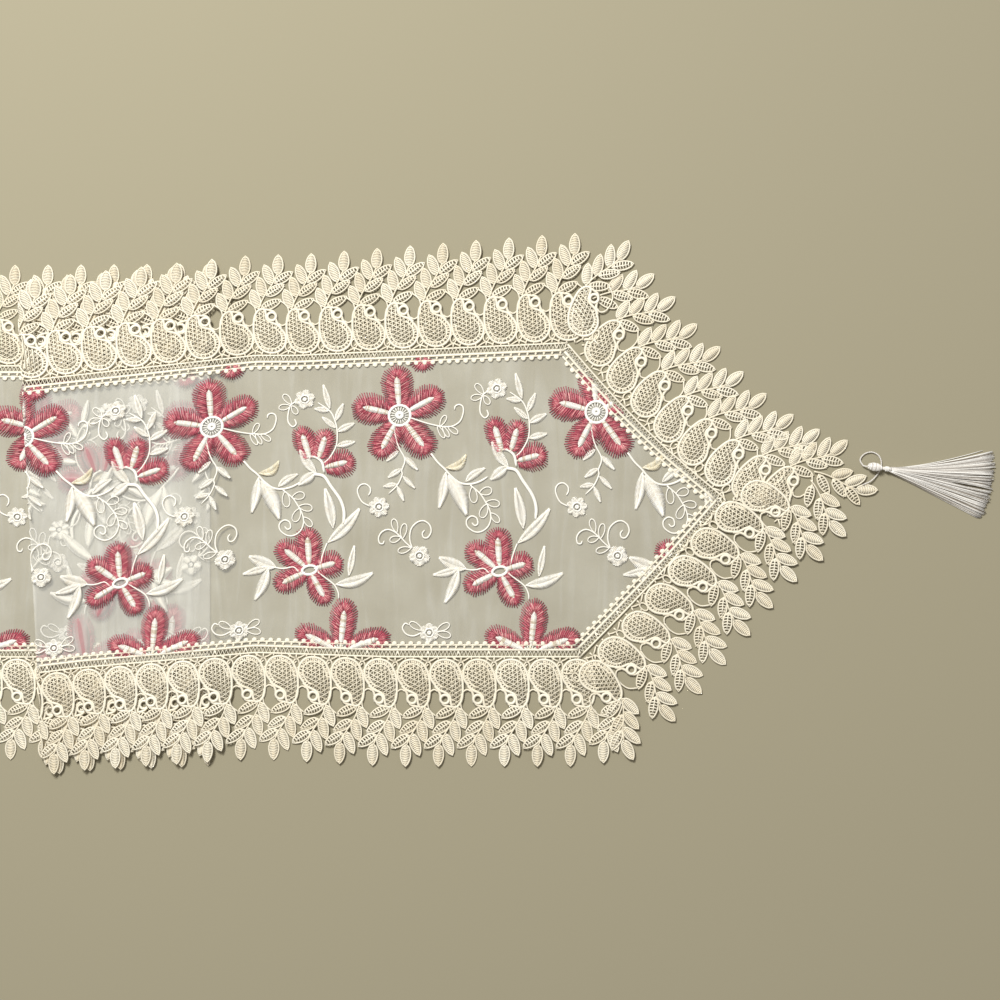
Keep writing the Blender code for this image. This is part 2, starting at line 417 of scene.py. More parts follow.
def colour_ramp(made, amount, stops):
    """Colours between the given stops."""
    fresh = made.node_tree.nodes.new("ShaderNodeValToRGB")
    elements = fresh.color_ramp.elements
    while len(elements) < len(stops):
        elements.new(0.5)
    for element, (place, colour) in zip(elements, stops):
        element.position = place
        element.color = (*colour, 1.0)
    feed(made, fresh, {"Fac": amount})
    return fresh.outputs["Color"]


def relief(made, height, strength):
    """Fine relief of a thread's or a weave's surface."""
    return node(made, "Bump", "Normal", {"Height": height, "Strength": strength, "Distance": 0.1 * MM})


def thread_material(name, stops, roughness, sheen, twist_scale, bump, noise_share=0.25):
    """Spun thread: tinted by strand, mottled, and twisted finely along its length."""
    made, shader = new_material(
        name, {"Roughness": roughness, "Sheen Weight": sheen, "Sheen Roughness": 0.4}
    )
    place = node(made, "TexCoord", "Object", {})
    strand = node(made, "Attribute", "Fac", {}, attribute_name="tint")
    mottle = node(made, "TexNoise", "Fac", {"Vector": place, "Scale": 900.0, "Detail": 3.0})
    centred = node(made, "Math", "Value", {0: mottle, 1: 0.5}, operation="SUBTRACT")
    shade = node(
        made, "Math", "Value", {0: centred, 1: noise_share * 2.0, 2: strand},
        operation="MULTIPLY_ADD",
    )
    twist = node(
        made, "TexWave", "Fac", {"Vector": place, "Scale": twist_scale, "Distortion": 2.0},
        wave_type="BANDS", bands_direction="DIAGONAL",
    )
    colour = colour_ramp(made, shade, stops)
    feed(made, shader, {"Base Color": colour, "Normal": relief(made, twist, bump)})
    return made


def organza_material():
    """Sheer woven cloth: mostly open, with a milky thread grid and painted sheen in streaks."""
    made, shader = new_material("organza", {
        "Roughness": 0.42,
        "Sheen Weight": 0.3,
        "Sheen Roughness": 0.3,
        "Specular IOR Level": 0.6,
    })
    place = node(made, "TexCoord", "Object", {})
    warp, weft = (
        node(
            made, "TexWave", "Fac", {"Vector": place, "Scale": 420.0, "Distortion": 0.6},
            bands_direction=direction,
        )
        for direction in ("X", "Y")
    )
    grid = node(made, "Math", "Value", {0: warp, 1: weft}, operation="MAXIMUM")
    cloud = node(made, "TexNoise", "Fac", {"Vector": place, "Scale": 22.0, "Detail": 4.0})
    cover = node(made, "MapRange", "Result", {"Value": cloud, "To Min": 0.04, "To Max": 0.30})
    thread = node(made, "Math", "Value", {0: grid, 1: 0.07, 2: cover}, operation="MULTIPLY_ADD")
    # Painted sheen: stretched noise adds whiter, more opaque streaks that stand in for silky highlights
    # on the wrinkled cloth.
    stretched = node(made, "Mapping", "Vector", {"Vector": place, "Scale": (75.0, 9.0, 20.0)})
    sheen_streak_noise = node(
        made, "TexNoise", "Fac",
        {"Vector": stretched, "Scale": 1.0, "Detail": 2.0, "Distortion": 1.2},
    )
    painted_sheen = node(
        made, "MapRange", "Result",
        {"Value": sheen_streak_noise, "From Min": 0.48, "From Max": 0.75, "To Max": 0.11},
    )
    veil = node(made, "Math", "Value", {0: thread, 1: painted_sheen}, operation="ADD")
    colour = colour_ramp(made, cloud, ((0.3, (0.82, 0.81, 0.76)), (0.7, (0.94, 0.93, 0.85))))
    feed(made, shader, {"Alpha": veil, "Base Color": colour, "Normal": relief(made, grid, 0.3)})
    return made


LACE_STOPS = ((0.0, (0.52, 0.37, 0.22)), (0.35, (0.79, 0.69, 0.50)), (1.0, (0.955, 0.90, 0.755)))
# Burgundy satin; its lightest stop is painted highlight, the pink of light caught on the satin threads.
RED_STOPS = (
    (0.0, (0.15, 0.012, 0.028)),
    (0.35, (0.40, 0.045, 0.080)),
    (0.65, (0.59, 0.115, 0.155)),
    (1.0, (0.90, 0.48, 0.45)),
)
CREAM_STOPS = ((0.0, (0.68, 0.57, 0.42)), (0.4, (0.92, 0.87, 0.76)), (1.0, (1.0, 0.98, 0.92)))
GOLD_STOPS = ((0.0, (0.56, 0.44, 0.27)), (0.5, (0.84, 0.75, 0.54)), (1.0, (0.97, 0.92, 0.77)))
# Tassel silk; its dark end is painted shade, used for threads that stand in for the shaded gaps between
# strands and windings.
SILK_STOPS = ((0.0, (0.27, 0.23, 0.18)), (0.5, (0.79, 0.75, 0.70)), (1.0, (1.0, 0.98, 0.94)))

lace_finish = thread_material("lace_thread", LACE_STOPS, 0.8, 0.25, 700.0, 0.5)
red_finish = thread_material("burgundy_satin", RED_STOPS, 0.38, 0.35, 900.0, 0.35)
cream_finish = thread_material("ivory_satin", CREAM_STOPS, 0.45, 0.3, 900.0, 0.35)
gold_finish = thread_material("gold_satin", GOLD_STOPS, 0.4, 0.3, 900.0, 0.35)
silk_finish = thread_material("tassel_silk", SILK_STOPS, 0.32, 0.5, 1200.0, 0.25, 0.12)
organza_finish = organza_material()

# ---------------------------------------------------------------- lace

def lens(base, tip, width, count=9, blunt=0.62):
    """Middle line and half widths of a leaf."""
    base, tip = np.asarray(base, float), np.asarray(tip, float)
    share = np.linspace(0.0, 1.0, count)
    middle = base + share[:, None] * (tip - base)
    half = 0.5 * width * np.sin(math.pi * share ** 0.88) ** blunt
    return middle, np.maximum(half, 0.03 * width)


def lace_leaf(threads, base, tip, width, open_work):
    """Leaf with a corded rim and stitched bars; an open one has a rib too."""
    middle, half = lens(base, tip, width)
    length, axis, across = arrow(base, tip)
    left = middle + across * half[:, None]
    right = middle - across * half[:, None]
    rim = np.vstack((left, right[-2:0:-1]))
    shade = 0.74 + rng.uniform(-0.10, 0.12)
    if rng.random() < 0.04:
        shade -= 0.30
    threads.tube(rim[::-1], 0.66 * MM, 0.36 * MM, 0.50 * MM, closed=True, tint=shade)
    gap = (1.75 if open_work else 1.22) * MM
    thick = (0.56 if open_work else 0.52) * MM
    if not open_work:
        threads.pad(middle, half * 0.86, 0.22 * MM, 0.34 * MM, shade - 0.24)
    for share in np.linspace(0.12, 0.90, int(length * 0.82 / gap)):
        reach = np.interp(share, np.linspace(0.0, 1.0, len(half)), half)
        centre = middle[0] + share * (middle[-1] - middle[0])
        skew = 0.10 * reach * axis
        path = np.array((centre - across * reach + skew, centre - skew, centre + across * reach + skew))
        tint = shade + rng.uniform(-0.10, 0.10)
        threads.tube(path, thick, 0.24 * MM, mm(0.44, 0.58, 0.44), tint=tint)
    if open_work:
        threads.tube(middle[:-1:2], 0.55 * MM, 0.26 * MM, 0.62 * MM, tint=shade + 0.05)


PAISLEY = mm(
    (0.0, 14.2), (6.8, 15.4), (10.9, 19.8), (12.3, 25.2), (11.2, 29.8), (8.4, 34.0),
    (5.0, 37.6), (0.6, 39.4), (-2.7, 42.2), (-3.3, 46.4), (-4.6, 50.2), (-8.4, 49.9),
    (-11.5, 45.4), (-12.5, 38.6), (-12.4, 31.0), (-10.8, 23.6), (-6.8, 17.0),
)
PAISLEY_MIDDLE = PAISLEY.mean(axis=0)
BULB_MIDDLE = mm(0.0, 27.0)
RING_AT = mm(1.2, 44.4)
RING_RADIUS = 3.3 * MM
NET_GAP = 3.0 * MM
LEAVES = (               # foot, tip, width, and whether its stitches are open
    ((-8.9, 51.0), (-14.2, 67.0), 7.5, False),
    ((-6.9, 50.8), (8.2, 58.2), 6.8, True),
    ((-5.2, 60.6), (-8.6, 77.2), 7.4, False),
    ((-3.0, 61.6), (10.6, 71.0), 6.8, True),
    ((1.4, 70.6), (-4.4, 87.4), 7.4, False),
    ((3.4, 71.8), (17.2, 81.4), 6.8, True),
    ((5.7, 79.0), (6.4, 95.6), 7.7, False),
)
SPRAY_STEM = mm((-9.4, 47.6), (-7.4, 55.0), (-3.4, 63.4), (2.0, 72.0), (5.6, 80.2))


def net(threads, outline, slope):
    """Fine parallel threads that fill an outline; three slopes meet in triangles."""
    across, along = pointing(slope)
    offsets = outline @ across
    reach = outline @ along
    samples = np.linspace(reach.min(), reach.max(), 56)
    middle = PAISLEY_MIDDLE @ across
    first = math.ceil((offsets.min() - middle) / NET_GAP)
    last = math.floor((offsets.max() - middle) / NET_GAP)
    for number in range(first, last + 1):
        offset = middle + (number + rng.uniform(-0.07, 0.07)) * NET_GAP
        line = across * offset + along * samples[:, None]
        good = inside(line, outline)
        good &= np.linalg.norm(line - RING_AT, axis=1) > RING_RADIUS
        edges = np.flatnonzero(np.diff(np.concatenate(((0,), good.astype(int), (0,)))))
        for start, stop in zip(edges[::2], edges[1::2]):
            if stop - start > 3:
                ends = line[[start, stop - 1]]
                shade = 0.68 + rng.uniform(-0.12, 0.12)
                height = (0.42 + rng.uniform(0.0, 0.16)) * MM
                threads.tube(ends, 0.38 * MM, 0.24 * MM, height, tint=shade)


def paisley(threads):
    """Comma-shaped motif: corded outline, laddered foot, net and a curled ring."""
    outline = smooth(PAISLEY, 3, closed=True)
    threads.tube(outline, 1.10 * MM, 0.46 * MM, 0.54 * MM, closed=True, tint=0.84)
    foot = np.roll(smooth(PAISLEY, 4, closed=True), 12, axis=0)[:38]
    inner = BULB_MIDDLE + (foot - BULB_MIDDLE) * 0.75
    threads.tube(inner, 0.66 * MM, 0.40 * MM, 0.52 * MM, tint=0.78)
    for i in range(1, 37, 2):
        threads.tube((inner[i], foot[i]), 0.56 * MM, 0.28 * MM, 0.5 * MM, tint=0.72)
    for degrees in (4.0, 64.0, -56.0):
        net(threads, outline, math.radians(degrees))
    ring = RING_AT + RING_RADIUS * circle(16)
    threads.tube(ring, 1.25 * MM, 0.46 * MM, 0.62 * MM, closed=True, tint=0.88)
    for width, path in (
        (1.15, ((4.6, 44.4), (4.6, 41.4), (5.8, 38.4), (8.8, 34.2))),
        (1.10, ((-6.4, 50.6), (-2.4, 50.0), (1.8, 48.9), (4.6, 45.8))),
        (0.68, ((6.6, 38.4), (9.0, 37.0), (11.4, 37.8), (13.0, 39.6))),
        (0.62, ((8.0, 57.4), (13.0, 52.6), (14.4, 46.0), (13.2, 39.4))),
    ):
        threads.tube(smooth(mm(*path), 4), width * MM, 0.40 * MM, tint=0.78)


def footing(threads):
    """Threads that join a motif to the braid and to the next motif."""
    eye = mm(14.0, 19.6) + circle(12) * mm(2.3, 3.7)
    threads.tube(eye, 0.66 * MM, 0.38 * MM, closed=True, tint=0.70)
    for path in (
        ((14.0, 16.0), (10.6, 14.4), (7.4, 12.4)),
        ((14.0, 16.0), (17.6, 14.4), (20.4, 12.4)),
        ((14.0, 16.0), (14.0, 12.4)),
        ((0.0, 14.2), (0.0, 11.8)),
        ((-5.6, 15.4), (-6.8, 11.8)),
        ((5.6, 14.8), (6.6, 11.8)),
        ((-9.6, 19.6), (-11.4, 17.6)),
        ((11.4, 24.6), (13.2, 24.0)),
    ):
        threads.tube(mm(*path), 0.66 * MM, 0.36 * MM, tint=0.70)


def spray(threads, first=0):
    """Stem with its leaves, from the given leaf on."""
    threads.tube(smooth(SPRAY_STEM, 3), 0.62 * MM, 0.4 * MM, 0.6 * MM, tint=0.66)
    for base, tip, width, open_work in LEAVES[first:]:
        lace_leaf(threads, mm(*base), mm(*tip), width * MM, open_work)
    for centre in ((3.6, 58.4), (6.4, 69.0)):
        arc = mm(*centre) + mm((-5.2, -1.6), (0.0, 0.6), (5.0, 0.2))
        threads.tube(smooth(arc, 3), 0.36 * MM, 0.3 * MM, tint=0.6)


def lace_unit(whole):
    """One repeat of the lace without its heading, or only the outer part of its spray."""
    threads = Threads()
    if whole:
        paisley(threads)
        footing(threads)
        spray(threads)
    else:
        spray(threads, 1)
    return threads.done()


BRAID_CORDS = ((3.0, 0.80, 0.55), (6.6, 1.20, 0.58), (12.0, 0.80, 0.58))   # v, half, h in mm
PICOT_GAP = PITCH / 4.0
PICOT = ((3.2, 1.6), (2.2, 2.1), (1.2, 2.1), (0.4, 1.5), (0.0, 0.6))       # v, half in mm
TOOTH = 1.45 * MM         # half a wave of the zigzag
TEETH_PER_THREAD = 16


def heading(threads, first, last, first_lean, last_lean, whole_length):
    """Braid with a picot edge, a ladder and a zigzag between its cords.

    It runs from first to last at the braid's middle; the leans are what the ends
    gain for each unit outwards, so that two runs meet on a mitre.
    """
    def reach(v):
        """Ends of a line at a distance in millimetres from the inner edge."""
        out = v * MM - BRAID_V
        return first - first_lean * out, last + last_lean * out

    for v, half, h in BRAID_CORDS:
        start, stop = reach(v)
        samples = np.linspace(start, stop, max(3, int((stop - start) / (5.0 * MM))))
        line = np.column_stack((samples, np.full(len(samples), v * MM)))
        threads.tube(line, half * MM, 0.42 * MM, h * MM, tint=0.80)
    for k in range(int(whole_length / PICOT_GAP) + 2):
        u = (k - 0.5) * PICOT_GAP
        start, stop = reach(1.0)
        if start + 1.5 * MM < u < stop - 1.5 * MM:
            bead = [(u, v * MM) for v, _ in PICOT]
            sizes = mm(*(half for _, half in PICOT))
            threads.tube(bead, sizes, 0.42 * MM, 0.55 * MM, sides=6, tint=0.88)
        start, stop = reach(4.0)
        middle = u + 0.5 * PICOT_GAP
        if start < middle < stop:
            bar = ((middle, 3.1 * MM), (middle, 6.4 * MM))
            threads.tube(bar, 1.05 * MM, 0.34 * MM, 0.5 * MM, tint=0.68)
    start, stop = reach(9.6)
    teeth = int((stop - start) / TOOTH)
    zig = np.linspace(start, stop, teeth + 1)
    zag = np.where(np.arange(teeth + 1) % 2 == 0, 7.4 * MM, 11.6 * MM)
    zigzag = np.column_stack((zig, zag))
    for i in range(0, teeth - 1, TEETH_PER_THREAD):
        thread = zigzag[i:i + TEETH_PER_THREAD + 1]
        threads.tube(thread, 0.72 * MM, 0.32 * MM, 0.52 * MM, tint=0.86)


PARTS = ("left", "low", "fold", "right")
CUTS = (-APEX_S, S_LOW - FOLD_W, S_MID, S_CUT, APEX_S)
END_ANGLES = tuple(math.atan2(CORNER_T, APEX_S - corner) for corner in CORNERS)
END_LENGTHS = tuple(CORNER_T / math.sin(angle) for angle in END_ANGLES)
BULB_V = 25.5 * MM        # from the lace's inner edge to the middle of a motif's bulb
FIRST_UPPER = 0.5140      # bulb nearest to the right-hand corner on each straight side
FIRST_LOWER = 0.5228
REPEATS = 42
UPPER_END = (             # each motif's bulb, its turn, whether it is whole, lift in mm
    (0.5259, 0.1372, -25.0, True, 0.7),
    (0.5228, 0.1323, -50.0, False, 0.0),
    (0.5389, 0.1148, -50.0, True, 0.0),
    (0.5557, 0.0941, -50.0, True, 0.1),
    (0.5741, 0.0757, -49.0, True, 0.0),
    (0.5917, 0.0566, -49.0, True, 0.1),
    (0.6100, 0.0390, -48.0, True, 0.0),
    (0.6307, 0.0230, -48.0, True, 0.1),
    (0.6514, 0.0107, -47.0, True, 0.0),
    (0.6728, 0.0023, -47.0, True, 0.1),
    (0.6812, 0.0115, -88.0, False, 0.7),
)
LOWER_END = (
    (0.6774, 0.0222, -130.0, False, 1.2),
    (0.6598, 0.0038, -130.0, True, 1.1),
    (0.6399, -0.0124, -130.0, True, 1.0),
    (0.6215, -0.0325, -130.0, True, 0.8),
    (0.6042, -0.0536, -130.0, True, 0.5),
    (0.5866, -0.0750, -131.0, True, 0.2),
    (0.5690, -0.0963, -132.0, True, 0.0),
    (0.5506, -0.1158, -134.0, True, 0.1),
    (0.5361, -0.1340, -151.0, True, 0.7),
    (0.5481, -0.1308, -180.0, False, 0.0),
)


def motifs(threads, places, whole, loose):
    """Set motifs with their bulbs at the given places."""
    for i, (s, t, degrees, complete, lift) in enumerate(places):
        turn = math.radians(degrees)
        out = pointing(turn)[1]
        source = whole[i % len(whole)] if complete else loose
        lift = (lift + rng.uniform(0.0, 0.1)) * MM
        threads.take(source, (s, t) - out * BULB_V, turn, lift, rng.uniform(-0.10, 0.08))


def run_places(side):
    """Places of the motifs along one straight side."""
    first = FIRST_UPPER if side > 0 else FIRST_LOWER
    turn = 0.0 if side > 0 else 180.0
    t = side * (HALF_GROUND + BULB_V)
    return [(first - k * PITCH, t, turn, True, 0.0) for k in range(REPEATS)]


def side_braid(side, part):
    """Braid of one straight side within one part of the cloth."""
    before, after = (0, 1) if side > 0 else (1, 0)
    number = PARTS.index(part)
    low = max(CUTS[number], -CORNERS[before])
    high = min(CUTS[number + 1], CORNERS[after])
    low_lean = math.tan(0.5 * END_ANGLES[before]) if part == "left" else 0.0
    high_lean = math.tan(0.5 * END_ANGLES[after]) if part == "right" else 0.0
    local = Threads()
    whole = sum(CORNERS)
    if side > 0:
        origin = CORNERS[before]
        heading(local, low + origin, high + origin, low_lean, high_lean, whole)
        start, angle = (-origin, HALF_GROUND), 0.0
    else:
        origin = CORNERS[after]
        heading(local, origin - high, origin - low, high_lean, low_lean, whole)
        start, angle = (origin, -HALF_GROUND), math.pi
    return moved(local.done(), start, angle)


def side_run(side, whole, loose):
    """One straight side's lace in its four parts."""
    threads = Threads()
    motifs(threads, run_places(side), whole, loose)
    data = threads.done()
    centre = body_mean(data, data["points"][:, 0])
    made = {}
    for part, low, high in zip(PARTS, CUTS, CUTS[1:]):
        both = Threads()
        both.take(pick(data, (centre >= low) & (centre < high)))
        both.take(side_braid(side, part))
        made[part] = both.done()
    return made


def end_run(end, side, whole, loose):
    """Slanted lace at one side of a pointed end."""
    upper = int(side * end > 0)
    slope, length = END_ANGLES[upper], END_LENGTHS[upper]
    corner_lean, apex_lean = math.tan(0.5 * slope), 1.0 / math.tan(slope)
    local = Threads()
    if upper:
        heading(local, 0.0, length, corner_lean, apex_lean, length)
        corner, angle, lift, places = (CORNERS[1], CORNER_T), -slope, 0.0, UPPER_END
    else:
        heading(local, 0.0, length, apex_lean, corner_lean, length)
        corner, angle, lift, places = (APEX_S, 0.0), math.pi + slope, 0.3 * MM, LOWER_END
    data = local.done()
    share = np.clip(data["points"][:, 0] / length, 0.0, 1.0)
    data["points"][:, 1] -= BOWS[upper] * np.sin(math.pi * share)
    threads = Threads()
    threads.take(data, np.array(corner) - pointing(angle)[1] * BRAID_V, angle, lift)
    motifs(threads, places, whole, loose)
    if end > 0:
        return threads.done()
    return moved(threads.done(), angle=math.pi)


# ---------------------------------------------------------------- embroidery

STITCH_GAP = 0.96 * MM    # between neighbouring stitches along a petal's rim
COLOURS = ("red", "cream", "gold")


def petal_outline(width, count=13):
    """Shares along a petal and its half widths: narrow foot, round tip."""
    share = np.linspace(0.0, 1.0, count)
    rise = 0.50 + 0.50 * np.sin(0.5 * math.pi * np.clip(share / 0.52, 0.0, 1.0))
    round_off = np.clip((share - 0.55) / 0.45, 0.0, 1.0)
    return share, 0.5 * width * rise * np.sqrt(np.maximum(1.0 - round_off ** 2.3, 0.0))


def satin_shade():
    """Tint of one stitch: dark, middle or catching the light."""
    shade = rng.choice((0.22, 0.48, 0.70, 0.95), p=(0.34, 0.30, 0.22, 0.14))
    return shade + rng.uniform(-0.07, 0.05)


def petal_stitch(threads, root, end, across, reaches_rim):
    """Dark stitch that passes the petal's rim, or a bright one that stops short of it; the bright tint is
    painted highlight.
    """
    out = (end - root) / (np.linalg.norm(end - root) + 1e-9)
    if reaches_rim:
        end = end + out * rng.uniform(0.0, 1.1) * MM
        heights, sizes = mm(0.42, 0.56, 0.34), mm(0.26, 0.46, 0.36)
        shade = rng.uniform(0.15, 0.46) * np.array((1.0, 1.0, 0.85))
    else:
        end = root + (end - root) * rng.uniform(0.62, 0.84)
        heights, sizes = mm(0.46, 0.66, 0.46), mm(0.24, 0.34, 0.24)
        # Painted highlight: the short stitches are light pink, standing in for light caught by the satin.
        shade = rng.uniform(0.58, 0.96)
    threads.tube((root, 0.66 * end + 0.34 * root, end), sizes, 0.24 * MM, heights, tint=shade)
    inner = root + (end - root) * rng.uniform(0.40, 0.74)
    path = np.array((root + out * MM, inner)) + across * rng.uniform(-0.9, 0.9) * MM
    threads.tube(path, 0.28 * MM, 0.20 * MM, 0.68 * MM, tint=satin_shade())


def petal(work, centre, degrees, start, length, width, bar=True):
    """Satin-stitched petal that grows from a flower's centre."""
    axis, across = pointing(math.radians(degrees))
    span = length - start
    share, half = petal_outline(width)
    middle = centre + axis * (start + 0.90 * span * share)[:, None]
    work["red"].pad(middle, np.maximum(half * 0.66, 0.3 * MM), 0.16 * MM, 0.20 * MM, 0.34)
    rim_y = np.concatenate((span * share, span * share[-2::-1]))
    rim_x = np.concatenate((half, -half[-2::-1]))
    steps = np.hypot(np.diff(rim_x), np.diff(rim_y))
    run = np.concatenate(((0.0,), np.cumsum(steps)))
    for number, at in enumerate(np.arange(0.3 * MM, run[-1], STITCH_GAP)):
        x = np.interp(at, run, rim_x)
        y = np.interp(at, run, rim_y)
        root_y = np.clip(0.84 * y - 0.09 * span, 0.0, 0.70 * span)
        root = centre + axis * (start + root_y) + across * 0.05 * x
        end = centre + axis * (start + y) + across * x
        petal_stitch(work["red"], root, end, across, number % 2 == 0)
    if bar:
        foot = centre + axis * (start - 1.0 * MM)
        ribbon(work["cream"], foot, centre + axis * (start + 0.72 * span), 4.7 * MM)


def ribbon(threads, base, tip, width):
    """Cream satin bar of cross stitches, wider toward its tip."""
    middle, half = lens(base, tip, width, 9, 0.22)
    half = half * np.linspace(0.82, 1.18, len(half))
    length, axis, across = arrow(base, tip)
    threads.pad(middle, half * 0.9, 0.5 * MM, 0.62 * MM, 0.6)
    for share in np.linspace(0.03, 0.97, int(length / (0.95 * MM))):
        reach = np.interp(share, np.linspace(0.0, 1.0, len(half)), half)
        at = middle[0] + share * (middle[-1] - middle[0])
        path = (at - across * reach, at, at + across * reach + axis * 0.4 * MM)
        shade = rng.choice((0.98, 0.82, 0.40, 0.05), p=(0.36, 0.30, 0.20, 0.14))
        threads.tube(path, 0.46 * MM, 0.24 * MM, mm(0.72, 0.84, 0.72), tint=shade)


def satin_leaf(threads, base, tip, width, bend=0.0, blunt=0.85):
    """Leaf of slanted stitches on both sides of a rib."""
    length, axis, across = arrow(base, tip)
    share = np.linspace(0.0, 1.0, 9)
    arch = bend * length * np.sin(math.pi * share)
    middle = base + axis * (share * length)[:, None] + across * arch[:, None]
    half = 0.5 * width * np.sin(math.pi * share ** 0.8) ** blunt
    half = np.maximum(half, 0.35 * MM)
    threads.pad(middle, half * 0.88, 0.26 * MM, 0.34 * MM, 0.55)

    def along(at):
        """Point of the middle line at a share of its length."""
        return np.array([np.interp(at, share, middle[:, k]) for k in (0, 1)])

    count = max(6, int(length / MM))
    for i in range(count):
        at = (i + 0.5) / count
        reach = np.interp(at, share, half)
        root = along(at * 0.92)
        for side in (1.0, -1.0):
            end = along(min(at + 0.05, 1.0)) + across * side * reach
            path = (root, 0.5 * (root + end), end)
            tint = 0.74 + rng.uniform(-0.40, 0.26)
            threads.tube(path, mm(0.26, 0.42, 0.30), 0.26 * MM, mm(0.50, 0.58, 0.42), tint=tint)


def leaves(threads, at, *rows):
    """Satin leaves from rows in millimetres: foot, tip and width, and how far each bends."""
    for foot_x, foot_y, tip_x, tip_y, width, bend in rows:
        satin_leaf(threads, at + mm(foot_x, foot_y), at + mm(tip_x, tip_y), width * MM, bend)


def petals(work, at, start, *rows):
    """Petals round a centre from rows: angle in degrees, length and width in millimetres."""
    for degrees, length, width in rows:
        petal(work, at, degrees, start * MM, length * MM, width * MM)


def stem(threads, at, *points, width=0.62):
    """Smooth satin cord through points in millimetres from a place."""
    path = smooth(at + mm(*points), 5)
    size = np.full(len(path), width * MM)
    size[-3:] *= (0.9, 0.75, 0.5)
    threads.tube(path, size, 0.36 * MM, 0.5 * MM, sides=6, tint=0.66)


def loops(threads, at, *rows):
    """Teardrop loops of cord from rows in millimetres: foot, tip and width."""
    turn = np.linspace(0.0, 2.0 * math.pi, 15)[:-1]
    share = 0.5 - 0.5 * np.cos(turn)
    swell = 0.5 * np.sin(turn) * np.sin(0.5 * turn) ** 0.6
    for foot_x, foot_y, tip_x, tip_y, width in rows:
        base, tip = at + mm(foot_x, foot_y), at + mm(tip_x, tip_y)
        across = arrow(base, tip)[2]
        path = base + (tip - base) * share[:, None] + across * (width * MM * swell)[:, None]
        threads.tube(path[::-1], 0.5 * MM, 0.34 * MM, 0.5 * MM, closed=True, tint=0.66)


def little_flower(threads, centre, radius=8.0, lobes=6, turn=0.3):
    """Small scalloped flower with a ring and a knot in its middle."""
    radius = radius * MM
    lobe = 2.0 * math.pi * radius / lobes * 0.80
    for k in range(lobes):
        axis = pointing(turn + 2.0 * math.pi * k / lobes)[0]
        satin_leaf(threads, centre + axis * 2.2 * MM, centre + axis * radius, lobe, 0.0, 0.40)
    ring = circle(12)
    threads.tube(centre + ring * 3.3 * MM, 0.65 * MM, 0.32 * MM, 0.74 * MM, closed=True, tint=0.85)
    threads.tube(centre + ring * 0.9 * MM, 0.9 * MM, 0.36 * MM, 0.66 * MM, closed=True, tint=0.85)


def flower_ring(threads, centre, radius_x, radius_y, turn=0.0, spokes=18):
    """Ring in a large flower's centre, with spokes that point inwards."""
    c, s = math.cos(turn), math.sin(turn)
    stretch = np.array(((c * radius_x, s * radius_x), (-s * radius_y, c * radius_y))) * MM
    ring = circle(24) @ stretch
    threads.tube(centre + ring, 1.10 * MM, 0.40 * MM, 0.74 * MM, closed=True, sides=6, tint=0.90)
    if spokes:
        for spoke in circle(spokes) @ stretch:
            ends = centre + np.array((0.92 * spoke, 0.34 * spoke))
            threads.tube(ends, mm(0.42, 0.46), 0.2 * MM, 0.45 * MM, tint=0.85)
        disc = centre + 0.24 * ring[::2]
        threads.tube(disc, 2.0 * MM, 0.3 * MM, 0.6 * MM, closed=True, tint=0.95)


def big_flower(work, at):
    """Five-petalled flower with a ringed centre, and its tendril and sprig."""
    cream = work["cream"]
    petals(
        work, at, 7.6, (94, 40.5, 24.5), (27, 38.0, 25.0), (-54, 40.5, 24.5),
        (243, 39.0, 24.5), (165, 37.5, 25.5),
    )
    flower_ring(cream, at, 8.2, 8.2)
    stem(
        cream, at, (8, -2), (20, -6.5), (31, -9.4), (39.5, -9.8), (46, -6),
        (48.6, 0.6), (48.4, 5.4), (45.6, 7.4), (42.6, 6.2), (42.0, 3.4),
    )
    loops(
        cream, at, (31, -9.2, 35.2, -1.0, 4.6), (29, -9, 34.2, -18.8, 4.2),
        (33, -9.6, 37.6, -18.2, 3.8), (37.0, -9.8, 44.4, -15.4, 4.8),
    )
    stem(
        cream, at, (-5, -6), (-2.6, -19.4), (0, -27), (3.4, -33.4), (3.8, -38),
        (1.6, -44.2), (1.9, -48), (-1.9, -56.2), (-8.4, -63),
    )
    leaves(
        cream, at, (-0.6, -28.4, -10.2, -36.8, 4.6, 0), (3.8, -33.4, 14.0, -44.2, 5.4, 0),
        (1.4, -43, -9.0, -50, 5.2, 0), (2.4, -49, 11.8, -58.8, 4.6, 0),
        (-2, -55.2, -12.6, -57.2, 4.6, 0), (-1.8, -57, 3.2, -69, 4.6, 0),
    )


def long_vine(work, at):
    """Vine from the large flower to the cup flower, with long leaves."""
    cream = work["cream"]
    stem(
        cream, at, (24, -31), (29, -38), (34.6, -43.6), (39.4, -49.2), (46, -54.4),
        (53.4, -55.6), (61, -53.6), (67.4, -49.8), width=0.85,
    )
    leaves(work["gold"], at, (35.2, -42.4, 51.0, -32.2, 7.6, -0.22))
    leaves(
        cream, at, (35.4, -45.6, 30.0, -74.6, 8.0, 0.03), (37.0, -48.2, 51.2, -80.0, 12.4, 0.04),
        (50.2, -53.8, 65.4, -43.0, 6.4, 0.06),
    )
    stem(
        cream, at, (54, -56.4), (61, -62.6), (65.6, -69.4), (68.8, -75.6), (69.8, -81.8),
        (67.8, -88), (63, -92), (57.4, -92.4), (52, -88.6), (51.2, -83.6), (54.8, -80.4),
        (58.8, -81.8), (59.8, -86), (57.4, -87.6), (55.2, -85.4),
    )
    loops(
        cream, at, (55.6, -57.6, 57.0, -70.2, 7.0), (61, -62.6, 70.4, -60.0, 7.4),
        (66, -69.8, 76.4, -71.2, 6.6), (66.8, -71.2, 62.4, -81.6, 7.0),
        (69.6, -78, 76.0, -85.0, 5.8),
    )


